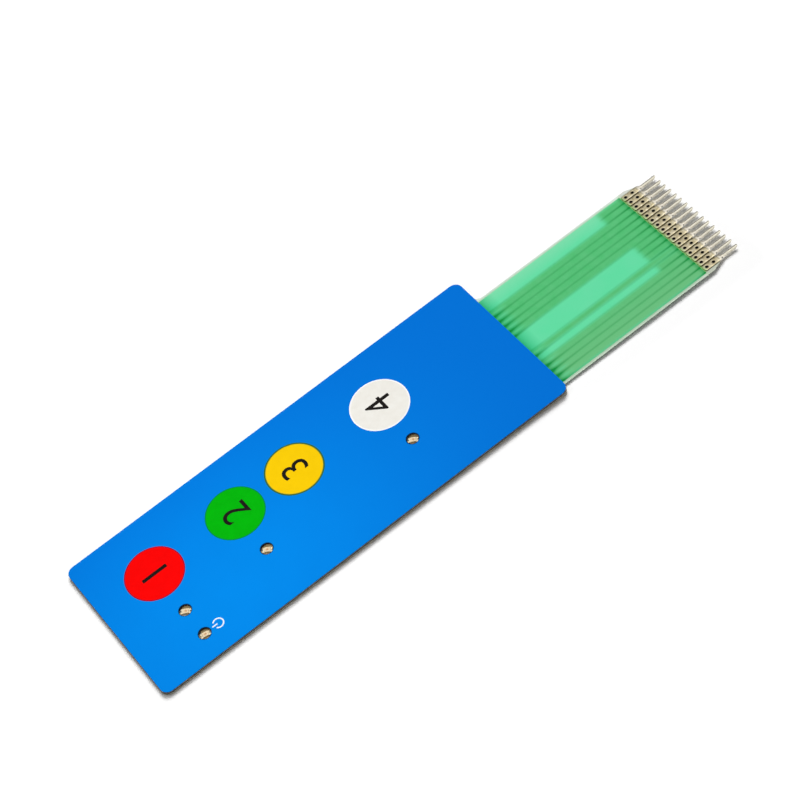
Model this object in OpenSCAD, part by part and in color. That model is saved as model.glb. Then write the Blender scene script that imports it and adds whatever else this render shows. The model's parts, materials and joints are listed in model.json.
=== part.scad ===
// Membrane keypad: a laminated pad with printed keys over snap domes, chip LEDs behind
// round windows, and a flat film tail that ends in a row of crimped pins.
// The origin is the centre of the pad's rear face. +X runs out along the tail, and +Z
// comes out of the printed front. All sizes are in millimetres.

/* [Pad] */
// Length of the pad, along the tail
pad_l = 145; // [140:1:180]
// Width of the pad
pad_w = 55.5; // [55:0.5:75]
// Radius of the pad's corners
corner_r = 2.6; // [1:0.2:5]

/* [Layers] */
// Paper release liner on the back
liner_t = 0.1; // [0.06:0.02:0.2]
// Adhesive that fixes the pad to a panel
rear_adhesive_t = 0.15; // [0.12:0.01:0.3]
// Polyester film that carries the circuit
film_t = 0.18; // [0.1:0.01:0.25]
// Printed silver ink
trace_t = 0.04; // [0.02:0.01:0.06]
// Adhesive left above the silver ink, under the spacer
bond_over_trace = 0.01; // [0.01:0.01:0.05]
// Adhesive between the spacer and the overlay
overlay_adhesive_t = 0.1; // [0.05:0.01:0.2]
// Printed overlay film
overlay_t = 0.25; // [0.15:0.01:0.4]
// Ink of the coloured key fields
key_ink_t = 0.03; // [0.02:0.01:0.05]

/* [Keys] */
// Diameter of a key's colour field
key_d = 18.4; // [16:0.2:20]
// Distance of the row of keys from the pad's long centre line
key_y = 8.1; // [7.5:0.1:9.5]
// From the pad's free end to the first key
key_inset = 19.5; // [16:0.5:22]
// From the first key to the second
key_step_1 = 29; // [26:0.5:31]
// From the second key to the third
key_step_2 = 21.5; // [21:0.5:24]
// From the third key to the fourth
key_step_3 = 31.5; // [28:0.5:34]
// Diameter of a snap dome across its feet
dome_d = 12; // [10:0.5:13]
// Distance across the flats between a dome's feet
dome_flats = 8.8; // [7.6:0.1:9]
// Height of a dome over its seat
dome_h = 0.5; // [0.35:0.05:0.6]
// Thickness of a dome's sheet steel
dome_sheet = 0.07; // [0.05:0.01:0.1]
// Room between a dome and the overlay's adhesive
dome_headroom = 0.15; // [0.1:0.05:0.3]
// Clearance around a dome in the spacer
dome_clear = 0.3; // [0.1:0.05:0.5]
// Diameter of the contact pad under a dome's middle
centre_pad_d = 3; // [2:0.2:4]
// Width of the ring of ink under a dome's feet
ring_w = 1.2; // [0.8:0.1:1.6]

/* [Indicators] */
// Diameter of a window in the overlay
window_d = 3.7; // [3.4:0.1:4.2]
// Extra diameter of the wells below the windows
well_extra = 0.5; // [0.3:0.1:1]
// Distance of the key indicators from the long centre line
led_y = -8.6; // [-10:0.1:-8]
// Distance of the power indicator from the long centre line
power_led_y = -19; // [-20:0.1:-17.5]
// Length of a chip LED
led_l = 3; // [2.6:0.1:3.2]
// Width of a chip LED
led_w = 1.6; // [1.2:0.1:1.8]
// Thickness of an LED's base
led_base_t = 0.3; // [0.2:0.05:0.35]
// Height of an LED's moulded lens
led_lens_h = 0.25; // [0.15:0.05:0.3]
// Length of an LED's plated end
led_end_l = 0.6; // [0.4:0.05:0.8]
// Draft of the lens at each end
led_lens_draft = 0.12; // [0.05:0.01:0.2]
// Turn of the key indicators in their windows
led_turn = -35; // [-45:1:0]
// Turn of the power indicator in its window
power_led_turn = -10; // [-45:1:0]

/* [Tail] */
// Distance of the tail's centre line from the pad's
tail_y = -3.4; // [-4:0.1:-2]
// From the pad's edge to the end of the film
tail_l = 60.2; // [50:0.1:90]
// Film left beside the outer contacts
tail_margin = 1.42; // [1.3:0.02:2]
// Radius between the tail and the pad's edge
tail_root_r = 2.4; // [1:0.1:2.6]
// Length of the cut at the corners of the film's end
tail_cut_l = 3; // [1:0.1:4]
// Depth of the cut at the corners of the film's end
tail_cut_w = 1.2; // [0.6:0.05:1.25]
// Green insulating coat over the tail
cover_t = 0.05; // [0.03:0.01:0.1]
// Bare film along each edge of the coat
cover_margin = 0.9; // [0.5:0.05:1.3]
// Width of a trace on the tail
trace_w = 1.9; // [1.2:0.05:2.05]
// Length of the unused contacts' traces ahead of the contacts
stub_l = 9.2; // [4:0.2:20]
// Width of a trace inside the pad
line_w = 0.8; // [0.5:0.05:0.9]
// Gap between traces inside the pad
line_gap = 0.5; // [0.35:0.05:0.55]

/* [Contacts] */
// Distance from contact to contact
pitch = 2.54; // [2.5:0.01:2.6]
// Thickness of the contacts' sheet metal
contact_t = 0.25; // [0.2:0.01:0.3]
// Length of the plate that is crimped to the film
plate_l = 5.8; // [5.6:0.1:7]
// Width of that plate
plate_w = 2.05; // [1.9:0.05:2.2]
// Radius of the plate's corners on the tail's side
plate_r = 0.6; // [0.3:0.05:0.9]
// Diameter of the holes in a plate
plate_hole_d = 1; // [0.6:0.05:1.05]
// From the plate's end to its first hole
plate_hole_x = 1.2; // [1:0.05:1.4]
// Between a plate's two holes
plate_hole_step = 2.54; // [2.4:0.02:2.7]
// Plate left over beyond the film's end
plate_overhang = 0.5; // [0.3:0.05:0.8]
// Length of a claw along the contact
claw_l = 0.7; // [0.5:0.05:0.8]
// Thickness of a claw
claw_t = 0.18; // [0.12:0.01:0.2]
// Length of a claw folded under the film
claw_fold = 0.5; // [0.3:0.05:0.6]
// Film between the last claws and the film's end
claw_edge = 0.35; // [0.2:0.05:0.5]
// Clearance around the claws in the film
claw_clear = 0.05; // [0.02:0.01:0.1]
// Length of the neck between plate and pin
neck_l = 1.2; // [0.8:0.1:2]
// Length of a pin, from its neck to its tip
pin_l = 5.7; // [4:0.1:8]
// Width of a pin
pin_w = 1.25; // [0.7:0.05:1.4]
// Height of a pin's folded section
pin_h = 0.6; // [0.4:0.02:0.65]
// Thickness of a pin's folded sides
pin_side = 0.22; // [0.15:0.01:0.28]
// Length of a pin's pointed tip
tip_l = 1.1; // [0.6:0.1:1.5]
// Width of a pin's tip
tip_w = 0.4; // [0.3:0.05:0.6]

/* [Hidden] */
$fn = 96;
// Overshoot of cutting tools past the faces that they cut
cut = 0.5;

// Levels, from the rear face upwards
z_adhesive = liner_t;
z_film = z_adhesive + rear_adhesive_t;
z_trace = z_film + film_t;
z_seat = z_trace + trace_t;
z_spacer = z_seat + bond_over_trace;
spacer_t = dome_h + dome_headroom;
z_overlay_adhesive = z_spacer + spacer_t;
z_overlay = z_overlay_adhesive + overlay_adhesive_t;
z_front = z_overlay + overlay_t;

// Keys and indicators, from the pad's free end towards the tail
pad_end = pad_l / 2;
key_x = [
    -pad_end + key_inset,
    -pad_end + key_inset + key_step_1,
    -pad_end + key_inset + key_step_1 + key_step_2,
    -pad_end + key_inset + key_step_1 + key_step_2 + key_step_3
];
key_colours = ["#fc0202", "#00b00a", "#fecc08", "#efece6"];
KEY_FIELDS = ["red_key_field", "green_key_field", "yellow_key_field", "white_key_field"];
// Place and turn of each LED: one for three of the keys, and one for power
leds = [
    [key_x[0], led_y, led_turn],
    [key_x[1], led_y, led_turn],
    [key_x[3], led_y, led_turn],
    [key_x[0], power_led_y, power_led_turn]
];
led_end_x = (led_l - led_end_l) / 2;
well_d = window_d + well_extra;
dome_hole_d = dome_d + 2 * dome_clear;
// Radius of the sphere that a dome's underside is part of
dome_r = (pow(dome_d / 2, 2) + pow(dome_h - dome_sheet, 2)) / (2 * (dome_h - dome_sheet));

// Contacts, counted from the tail's +Y edge
contact_n = 16;
row_w = (contact_n - 1) * pitch;
tail_w = row_w + plate_w + 2 * tail_margin;
plate_x = pad_end + tail_l + plate_overhang - plate_l;
claw_x = [plate_hole_x + plate_hole_step / 2, plate_l - plate_overhang - claw_edge - claw_l / 2];
// Gap between the green coat and the plates
cover_gap = 0.2;
cover_l = plate_x - cover_gap - pad_end;
// Trace ink stops short of the film's end
trace_end = pad_end + tail_l - claw_edge / 2;
// The wide traces start just inside the pad
trace_lap = 1;

// Which contacts are wired: the keys' common and four keys, then the LEDs' common and four LEDs
key_common = 3;
key_contact = [7, 6, 5, 4];
led_common = 11;
led_contact = [15, 14, 13, 16];
wired = concat([key_common, led_common], key_contact, led_contact);
// Lanes that the lines run along inside the pad
lane = line_w + line_gap;
key_bus_y = key_y + dome_hole_d / 2 + lane;
key_lane_y = [for (k = [0:3]) key_y - dome_d / 2 - lane * (4 - k)];
led_bus_y = key_lane_y[0] - lane;
led_lane_y = [led_y - well_d / 2 - 3 * lane, led_y - well_d / 2 - 2 * lane, led_y - well_d / 2 - lane];

function contact_y(i) = tail_y + row_w / 2 - (i - 1) * pitch;
// Where the lines turn from the tail's rows into the lanes
function turn_x(k) = pad_end - 3 * lane - k * lane;
// Centre of one end of an LED: side is -1 or 1
function led_end(led, side) = [
    led[0] + side * led_end_x * cos(led[2]),
    led[1] + side * led_end_x * sin(led[2])
];

// Flat outlines

module pad_outline() {
    inner_l = pad_l - 2 * corner_r;
    inner_w = pad_w - 2 * corner_r;
    square([pad_l, inner_w], center = true);
    square([inner_l, pad_w], center = true);
    for (sx = [-1, 1], sy = [-1, 1])
        translate([sx * inner_l / 2, sy * inner_w / 2]) circle(corner_r);
}

module at_keys() {
    for (x = key_x) translate([x, key_y]) children();
}

module at_leds() {
    for (led = leds) translate([led[0], led[1]]) rotate(led[2]) children();
}

module wells() {
    at_keys() circle(d = dome_hole_d);
    at_leds() circle(d = well_d);
}

module tail_outline() {
    side = tail_w / 2;
    end_side = side - tail_cut_w;
    translate([pad_end, tail_y])
        polygon([
            [-corner_r, -side], [tail_l - tail_cut_l, -side], [tail_l, -end_side],
            [tail_l, end_side], [tail_l - tail_cut_l, side], [-corner_r, side]
        ]);
    // The root's radius is no larger than the straight edge of the pad beside the tail
    for (s = [-1, 1]) {
        straight = pad_w / 2 - corner_r - side - s * tail_y;
        root_r = min(tail_root_r, straight);
        if (root_r > 0)
            translate([pad_end, tail_y + s * side]) mirror([0, s < 0 ? 1 : 0])
                difference() {
                    square(root_r);
                    translate([root_r, root_r]) circle(root_r);
                }
    }
}

module claw_slots() {
    slot_l = claw_l + 2 * claw_clear;
    slot_w = claw_t + 2 * claw_clear;
    for (i = [1:contact_n], x = claw_x, s = [-1, 1])
        translate([plate_x + x, contact_y(i) + s * (plate_w - claw_t) / 2])
            square([slot_l, slot_w], center = true);
}

// Printed circuit, as flat shapes

module run_x(x0, x1, y) {
    translate([min(x0, x1) - line_w / 2, y - line_w / 2]) square([abs(x1 - x0) + line_w, line_w]);
}

module run_y(x, y0, y1) {
    translate([x - line_w / 2, min(y0, y1) - line_w / 2]) square([line_w, abs(y1 - y0) + line_w]);
}

// A line from a contact's row at the pad's edge into a lane, and along it to x_end
module lead(contact, turn, lane_y, x_end) {
    run_x(turn_x(turn), pad_end - trace_lap, contact_y(contact));
    run_y(turn_x(turn), contact_y(contact), lane_y);
    run_x(x_end, turn_x(turn), lane_y);
}

module key_circuit(k) {
    gap = line_w + 2 * line_gap;
    lead(key_contact[k], k, key_lane_y[k], key_x[k]);
    run_y(key_x[k], key_lane_y[k], key_y);
    run_y(key_x[k], key_y + dome_d / 2 - ring_w / 2, key_bus_y);
    translate([key_x[k], key_y]) {
        circle(d = centre_pad_d);
        difference() {
            circle(d = dome_d);
            circle(d = dome_d - 2 * ring_w);
            translate([-gap / 2, -dome_d]) square([gap, dome_d]);
        }
    }
}

module led_circuit() {
    for (k = [0:2]) {
        first = led_end(leds[k], -1);
        second = led_end(leds[k], 1);
        run_y(first[0], first[1], led_bus_y);
        run_y(second[0], second[1], led_lane_y[k]);
        lead(led_contact[k], 2 - k, led_lane_y[k], second[0]);
    }
    power_first = led_end(leds[3], -1);
    power_second = led_end(leds[3], 1);
    run_y(led_end(leds[0], -1)[0], led_bus_y, power_first[1]);
    lead(led_contact[3], 3, power_second[1], power_second[0]);
    lead(led_common, 0, led_bus_y, led_end(leds[0], -1)[0]);
    at_leds() for (s = [-1, 1])
        translate([s * led_end_x, 0]) square([led_end_l, led_w], center = true);
}

// The wide traces that run along the tail, and the unused contacts' short ones
module tail_traces(from_pad) {
    for (i = [1:contact_n]) {
        is_wired = len(search(i, wired)) > 0;
        x0 = is_wired ? pad_end - (from_pad ? trace_lap : 0) : plate_x - stub_l;
        translate([x0, contact_y(i) - trace_w / 2]) square([trace_end - x0, trace_w]);
    }
}

module trace_shapes() {
    tail_traces(true);
    lead(key_common, 0, key_bus_y, key_x[0]);
    for (k = [0:3]) key_circuit(k);
    led_circuit();
}

// Sub-parts, from the back to the front

module layer(z, t) {
    translate([0, 0, z]) linear_extrude(t) children();
}

module release_liner() {
    color("#d9c6a0") layer(0, liner_t) pad_outline();
}

module rear_adhesive() {
    color("#544435") layer(z_adhesive, rear_adhesive_t) pad_outline();
}

module circuit_film() {
    color("#e6ece4") layer(z_film, film_t) difference() {
        union() {
            pad_outline();
            tail_outline();
        }
        claw_slots();
    }
}

module silver_traces() {
    color("#b9bcb8") layer(z_trace, trace_t) difference() {
        trace_shapes();
        claw_slots();
    }
}

// The coat lies on the film and rises over each trace
module tail_cover() {
    coat_w = tail_w - 2 * cover_margin;
    color("#57c484") difference() {
        union() {
            translate([pad_end, tail_y - coat_w / 2, z_trace]) cube([cover_l, coat_w, cover_t]);
            for (i = [1:contact_n]) {
                is_wired = len(search(i, wired)) > 0;
                x0 = is_wired ? pad_end : plate_x - stub_l - cover_t;
                translate([x0, contact_y(i) - trace_w / 2 - cover_t, z_trace])
                    cube([pad_end + cover_l - x0, trace_w + 2 * cover_t, trace_t + cover_t]);
            }
        }
        layer(z_trace - cut, cut + trace_t) tail_traces(true);
    }
}

module circuit_adhesive() {
    color("#dfe5e2") layer(z_trace, trace_t + bond_over_trace) difference() {
        pad_outline();
        wells();
        trace_shapes();
    }
}

module spacer() {
    color("#2e2c29") layer(z_spacer, spacer_t) difference() {
        pad_outline();
        wells();
    }
}

module overlay_adhesive() {
    color("#e3e6e0") layer(z_overlay_adhesive, overlay_adhesive_t) difference() {
        pad_outline();
        wells();
    }
}

module graphic_overlay() {
    color("#0080e6") layer(z_overlay, overlay_t) difference() {
        pad_outline();
        at_leds() circle(d = window_d);
    }
}

module key_field(k) {
    color(key_colours[k]) translate([key_x[k], key_y, z_front]) cylinder(d = key_d, h = key_ink_t);
}

// A cap of sheet steel, cut to four feet that stand on the ring of ink
module snap_dome(k) {
    color("#c9ccd0") translate([key_x[k], key_y, z_seat]) intersection() {
        translate([0, 0, dome_h - dome_sheet - dome_r]) difference() {
            sphere(dome_r + dome_sheet);
            sphere(dome_r);
        }
        cylinder(d = dome_d, h = dome_h + cut);
        translate([-dome_flats / 2, -dome_flats / 2, 0]) cube([dome_flats, dome_flats, dome_h + cut]);
    }
}

module at_led(k) {
    translate([leds[k][0], leds[k][1], z_seat]) rotate(leds[k][2]) children();
}

module led_base(k) {
    color("#ebdcbe") at_led(k) translate([-led_l / 2, -led_w / 2, 0]) cube([led_l, led_w, led_base_t]);
}

module led_lens(k) {
    lens_l = led_l - 2 * led_end_l;
    color("#c89664") at_led(k) translate([0, led_w / 2, led_base_t]) rotate([90, 0, 0])
        linear_extrude(led_w) polygon([
            [-lens_l / 2, 0], [lens_l / 2, 0],
            [lens_l / 2 - led_lens_draft, led_lens_h], [-lens_l / 2 + led_lens_draft, led_lens_h]
        ]);
}

// Outline of a contact's plate, neck and pin, from the plate's end on the tail
module contact_outline() {
    pin_x = plate_l + neck_l;
    translate([plate_r, -plate_w / 2]) square([plate_l - plate_r, plate_w]);
    translate([0, -plate_w / 2 + plate_r]) square([plate_l, plate_w - 2 * plate_r]);
    for (s = [-1, 1]) translate([plate_r, s * (plate_w / 2 - plate_r)]) circle(plate_r);
    polygon([
        [plate_l - plate_overhang, -plate_w / 2], [plate_l, -plate_w / 2], [pin_x, -pin_w / 2],
        [pin_x + pin_l - tip_l, -pin_w / 2], [pin_x + pin_l, -tip_w / 2],
        [pin_x + pin_l, tip_w / 2], [pin_x + pin_l - tip_l, pin_w / 2],
        [pin_x, pin_w / 2], [plate_l, plate_w / 2], [plate_l - plate_overhang, plate_w / 2]
    ]);
}

// A stamped contact: its claws go through the film and fold under it, and its pin is folded down
module contact(i) {
    z_claw = z_film - claw_t;
    z_top = z_seat + contact_t;
    color("#cfc7aa") translate([plate_x, contact_y(i), 0]) {
        layer(z_seat, contact_t) difference() {
            contact_outline();
            for (x = [plate_hole_x, plate_hole_x + plate_hole_step]) translate([x, 0]) circle(d = plate_hole_d);
        }
        for (x = claw_x, s = [0, 1]) mirror([0, s]) translate([x - claw_l / 2, 0, z_claw]) {
            translate([0, plate_w / 2 - claw_t, 0]) cube([claw_l, claw_t, z_top - z_claw]);
            translate([0, plate_w / 2 - claw_t - claw_fold, 0]) cube([claw_l, claw_t + claw_fold, claw_t]);
        }
        for (s = [0, 1]) mirror([0, s])
            translate([plate_l + neck_l, pin_w / 2 - pin_side, z_top - pin_h])
                cube([pin_l - tip_l, pin_side, pin_h]);
    }
}

release_liner();
rear_adhesive();
circuit_film();
silver_traces();
tail_cover();
circuit_adhesive();
spacer();
overlay_adhesive();
graphic_overlay();
for (k = [0:3]) {
    key_field(k);
    snap_dome(k);
    led_base(k);
    led_lens(k);
}
for (i = [1:contact_n])
    contact(i);
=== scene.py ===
# %% [markdown]
# # Membrane keypad
#
# A membrane keypad is a stack of thin films. A printed overlay lies on top, a spacer below it
# has wells for the snap domes and the LEDs, and the circuit film at the bottom runs out into a
# flat tail with a row of crimped pins. The solids come from the CAD frame. This lesson gives
# them their finishes, and makes finer meshes where the real surface has more shape.

import json
import math

import bmesh
import bpy
import numpy as np
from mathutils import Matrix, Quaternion, Vector

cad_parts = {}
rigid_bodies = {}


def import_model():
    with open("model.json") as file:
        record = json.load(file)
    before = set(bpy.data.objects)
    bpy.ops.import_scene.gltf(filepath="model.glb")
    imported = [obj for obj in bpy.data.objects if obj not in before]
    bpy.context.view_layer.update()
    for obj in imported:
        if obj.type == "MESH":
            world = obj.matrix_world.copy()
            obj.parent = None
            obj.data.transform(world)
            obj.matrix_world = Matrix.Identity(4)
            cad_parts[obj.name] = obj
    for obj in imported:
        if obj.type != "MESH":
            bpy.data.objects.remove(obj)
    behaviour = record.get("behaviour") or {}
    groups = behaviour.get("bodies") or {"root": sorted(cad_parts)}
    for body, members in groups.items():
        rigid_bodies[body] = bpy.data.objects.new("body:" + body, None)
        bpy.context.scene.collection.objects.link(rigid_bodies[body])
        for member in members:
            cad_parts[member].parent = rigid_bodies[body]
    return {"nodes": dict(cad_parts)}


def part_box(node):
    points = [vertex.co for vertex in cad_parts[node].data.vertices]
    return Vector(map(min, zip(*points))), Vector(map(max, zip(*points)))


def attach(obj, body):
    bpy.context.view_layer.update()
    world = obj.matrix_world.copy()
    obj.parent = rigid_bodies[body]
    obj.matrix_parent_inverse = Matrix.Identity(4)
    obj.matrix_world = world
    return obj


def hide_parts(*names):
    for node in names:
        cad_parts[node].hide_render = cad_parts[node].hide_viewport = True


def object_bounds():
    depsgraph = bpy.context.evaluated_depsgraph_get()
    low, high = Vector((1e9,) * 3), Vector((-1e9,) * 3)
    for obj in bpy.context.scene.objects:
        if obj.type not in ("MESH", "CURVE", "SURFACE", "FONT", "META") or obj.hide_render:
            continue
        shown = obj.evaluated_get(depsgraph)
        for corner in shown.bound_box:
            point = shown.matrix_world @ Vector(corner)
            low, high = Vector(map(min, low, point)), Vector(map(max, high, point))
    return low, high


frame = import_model()
cad_low, cad_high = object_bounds()
in_scene = bpy.context.scene.collection.objects
MM = 0.001
print("CAD nodes:", len(frame["nodes"]))
print("CAD box in mm:", [round(side / MM, 3) for side in cad_high - cad_low])


# %% [markdown]
# ## Helpers for shapes
#
# Every new shape here is an array of points worked out at once, in millimetres in the CAD
# frame. A grid of points needs the corner numbers of its cells, and a solid needs its seams
# closed. Blender's own primitives would be quicker to call, but they can't follow a printed
# relief or a folded sheet, so a few small functions turn grids into closed meshes.


# %% Grids and smooth steps
def quads(rows, cols, wrap=False):
    """Corner numbers of a grid's cells, row by row. With wrap the last column joins the first."""
    row = np.arange(rows - 1)[:, None]
    col = np.arange(cols if wrap else cols - 1)[None, :]
    after = (col + 1) % cols
    corners = [row * cols + col, (row + 1) * cols + col, (row + 1) * cols + after, row * cols + after]
    return np.stack(np.broadcast_arrays(*corners), axis=-1).reshape(-1, 4)


def smooth(t):
    """Smooth step: 0 below 0, 1 above 1, and t * t * (3 - 2 * t) between."""
    t = np.clip(t, 0, 1)
    return t * t * (3 - 2 * t)


def stretches(ends, counts):
    """Places along a line: each stretch between two ends is divided into that many equal steps."""
    parts = [np.linspace(a, b, n, endpoint=False) for a, b, n in zip(ends, ends[1:], counts)]
    return np.concatenate(parts + [ends[-1:]])


def both_faces(values):
    """Values on a slab's grid in the order of its points: along the top and back along the bottom."""
    return np.concatenate([values, values[:, ::-1]], axis=1)


print("cells in a grid of 3 x 4 points:", len(quads(3, 4)))


# %% Solids from grids
def slab(x, y, top, bottom):
    """Closed solid between two height fields over one grid.

    Each row of the grid runs across the top and back along the bottom, so it is a closed loop.
    Neighbouring loops are joined by quads, and a strip of quads closes each end.
    """
    height = np.concatenate([top, bottom[:, ::-1]], axis=1)
    rows, cols = height.shape
    points = np.stack([both_faces(x), both_faces(y), height], axis=-1).reshape(-1, 3)
    step = np.arange(cols // 2 - 1)
    cap = np.stack([step, step + 1, cols - 2 - step, cols - 1 - step], axis=-1)
    return points, [quads(rows, cols, wrap=True), cap, cap[:, ::-1] + (rows - 1) * cols]


def lathe(radius, height, centre, steps):
    """A profile turned about a vertical axis: x = radius * cos(a), y = radius * sin(a), z = height."""
    angle = np.linspace(0, 2 * np.pi, steps, endpoint=False)
    x = centre[0] + radius[:, None] * np.cos(angle)
    y = centre[1] + radius[:, None] * np.sin(angle)
    z = height[:, None] + 0 * angle
    return np.stack([x, y, z], axis=-1).reshape(-1, 3), [quads(len(radius), steps, wrap=True)]


def join_patches(patches):
    """Stacks patches of (points, face arrays): corner numbers move up by the points before them."""
    starts = np.cumsum([0] + [len(patch[0]) for patch in patches[:-1]])
    points = np.concatenate([patch[0] for patch in patches])
    moved = [array + start for patch, start in zip(patches, starts) for array in patch[1]]
    return points, [face for array in moved for face in array.tolist()]


print("slabs and turned profiles are ready")

# %% Closed meshes
# Points closer than this are one point, in metres
MERGE = 1e-7


def settle(mesh, sharp=35, fill=()):
    """Joins a mesh's seams, fills its open rims at the heights in fill, and turns its faces outwards.

    Edges that bend by more than sharp degrees stay crisp, and the others are shaded smooth.
    """
    work = bmesh.new()
    work.from_mesh(mesh)
    bmesh.ops.remove_doubles(work, verts=work.verts, dist=MERGE)
    for z in fill:
        rim = [e for e in work.edges if e.is_boundary and abs(e.verts[0].co.z / MM - z) < 0.001]
        bmesh.ops.triangle_fill(work, use_beauty=True, edges=rim)
    bmesh.ops.recalc_face_normals(work, faces=work.faces)
    work.to_mesh(mesh)
    work.free()
    mesh.shade_smooth()
    mesh.set_sharp_from_angle(angle=math.radians(sharp))


def make_mesh(name, patches, sharp=35, fill=()):
    """One closed mesh from patches of points in mm."""
    points, faces = join_patches(patches)
    mesh = bpy.data.meshes.new(name)
    mesh.from_pydata((points * MM).tolist(), [], faces)
    settle(mesh, sharp, fill)
    return mesh


def applied(helper):
    """The mesh of a helper object with its text or modifiers applied. The helper goes."""
    in_scene.link(helper)
    made = bpy.data.meshes.new_from_object(helper.evaluated_get(bpy.context.evaluated_depsgraph_get()))
    bpy.data.objects.remove(helper)
    return made


def mesh_points(mesh):
    """The points of a mesh, in mm."""
    flat = np.empty(len(mesh.vertices) * 3, dtype=np.float32)
    mesh.vertices.foreach_get("co", flat)
    return flat.reshape(-1, 3) / MM


def paint(mesh, label, values):
    """Stores one value for each point of a mesh, for a finish to read under that label."""
    layer = mesh.attributes.new(label, "FLOAT", "POINT")
    layer.data.foreach_set("value", values.astype(np.float32).ravel())


print("points merge within", MERGE / MM, "mm")


# %% Pieces on the frame
def place(name, mesh, finish, stands_for=()):
    """Puts a mesh into the scene as a piece of the keypad, which has one body."""
    piece = bpy.data.objects.new(name, mesh)
    in_scene.link(piece)
    mesh.materials.append(finish)
    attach(piece, "root")
    if stands_for:
        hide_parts(*stands_for)


def dress(finish, *nodes):
    """Gives CAD nodes that keep their own shape a finish."""
    for name in nodes:
        slots = frame["nodes"][name].data.materials
        slots.clear()
        slots.append(finish)


def node_box(name):
    """Lowest and highest corner of a CAD node, in mm."""
    return np.array(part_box(name)) / MM


# %% [markdown]
# ## Helpers for finishes
#
# A finish starts from one Principled shader, because that one shader also survives the export.
# Colours are written as sRGB hex values, which have to be made linear before a shader uses
# them. A pattern's scale is worked out from its size in millimetres: Blender's noise has about
# one feature per unit divided by its scale, and the unit here is the metre.


# %% Colours and nodes
def colour(text):
    """Linear colour with alpha from an sRGB hex value such as #0080e6."""
    code = np.array([int(text[i : i + 2], 16) for i in (1, 3, 5)]) / 255
    linear = np.where(code <= 0.04045, code / 12.92, ((code + 0.055) / 1.055) ** 2.4)
    return (*linear.tolist(), 1.0)


def per_metre(size):
    """How many patterns of that size in mm fit in a metre."""
    return 1 / (size * MM)


def add(tree, kind, settings=None, inputs=None):
    """Adds one shader node: settings are its own options, inputs are values or sockets to link from."""
    made = tree.nodes.new("ShaderNode" + kind)
    for key, value in (settings or {}).items():
        setattr(made, key, value)
    for key, value in (inputs or {}).items():
        if isinstance(value, bpy.types.NodeSocket):
            tree.links.new(value, made.inputs[key])
        else:
            made.inputs[key].default_value = value
    return made


def start_finish(name, **values):
    """A material with one Principled shader: gives it, its tree, the shader and Object coordinates."""
    material = bpy.data.materials.new(name)
    material.use_nodes = True
    tree = material.node_tree
    shader = tree.nodes["Principled BSDF"]
    for key, value in values.items():
        shader.inputs[key.replace("_", " ")].default_value = value
    return material, tree, shader, add(tree, "TexCoord").outputs["Object"]


print("linear value of a mid grey:", round(colour("#808080")[0], 3))

# %% Patterns
# Input and output numbers of the colours in a Mix node, settings that are used often, and the
# inputs of a Map Range node in their order
MIX_A, MIX_B, MIX_OUT = 6, 7, 2
RGBA, SOFT = {"data_type": "RGBA"}, {"interpolation_type": "SMOOTHSTEP"}
RANGE = ("Value", "From Min", "From Max", "To Min", "To Max")


def mottled(tree, coordinates, size, first, second):
    """Colour that wanders between two colours in soft patches of that size in mm."""
    noise = add(tree, "TexNoise", None, {
        "Vector": coordinates, "Scale": per_metre(size), "Detail": 3.0, "Roughness": 0.55})
    share = add(tree, "MapRange", None, dict(zip(RANGE, (noise.outputs["Fac"], 0.32, 0.68))))
    return add(tree, "Mix", RGBA, {
        0: share.outputs["Result"], MIX_A: colour(first), MIX_B: colour(second)}).outputs[MIX_OUT]


def graded(tree, tone, value, start, end, other, first=0.0, last=1.0):
    """A tone that gives way to another colour between two places in mm along a coordinate.

    The other colour's share goes from first to last.
    """
    share = add(tree, "MapRange", None, dict(zip(RANGE, (value, start * MM, end * MM, first, last))))
    return add(tree, "Mix", RGBA, {
        0: share.outputs["Result"], MIX_A: tone, MIX_B: colour(other)}).outputs[MIX_OUT]


def toothed(tree, shader, coordinates, size, depth):
    """Fine tooth on a surface: noise of that size in mm, raised by that depth in mm."""
    noise = add(tree, "TexNoise", None, {
        "Vector": coordinates, "Scale": per_metre(size), "Detail": 2.0})
    bump = add(tree, "Bump", None, {
        "Height": noise.outputs["Fac"], "Strength": 1.0, "Distance": depth * MM})
    tree.links.new(bump.outputs["Normal"], shader.inputs["Normal"])


def uneven_gloss(tree, shader, coordinates, size, least, most):
    """Roughness that wanders between two values in patches of that size in mm."""
    noise = add(tree, "TexNoise", None, {
        "Vector": coordinates, "Scale": per_metre(size), "Detail": 3.0})
    span = add(tree, "MapRange", None, dict(zip(RANGE, (noise.outputs["Fac"], 0.3, 0.7, least, most))))
    tree.links.new(span.outputs["Result"], shader.inputs["Roughness"])


print("patterns of 1 mm in a metre:", round(per_metre(1.0)))


# %% Plain finishes
def plain_finish(name, size, first, second, tooth=None, gloss=None, **values):
    """A finish of two colours in patches of a size in mm, with a fine tooth or an uneven gloss."""
    material, tree, shader, coordinates = start_finish(name, **values)
    tree.links.new(mottled(tree, coordinates, size, first, second), shader.inputs["Base Color"])
    if tooth:
        toothed(tree, shader, coordinates, *tooth)
    if gloss:
        uneven_gloss(tree, shader, coordinates, *gloss)
    return material


print("materials so far:", len(bpy.data.materials))


# %% [markdown]
# ## Camera
#
# The photograph looks down on the pad from its long side with a long lens, rolled so that the
# tail points up and to the right. The camera was fitted to the pad's corners, the keys, the
# LED windows and the contact holes, so those numbers are written here as they came out.

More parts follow.
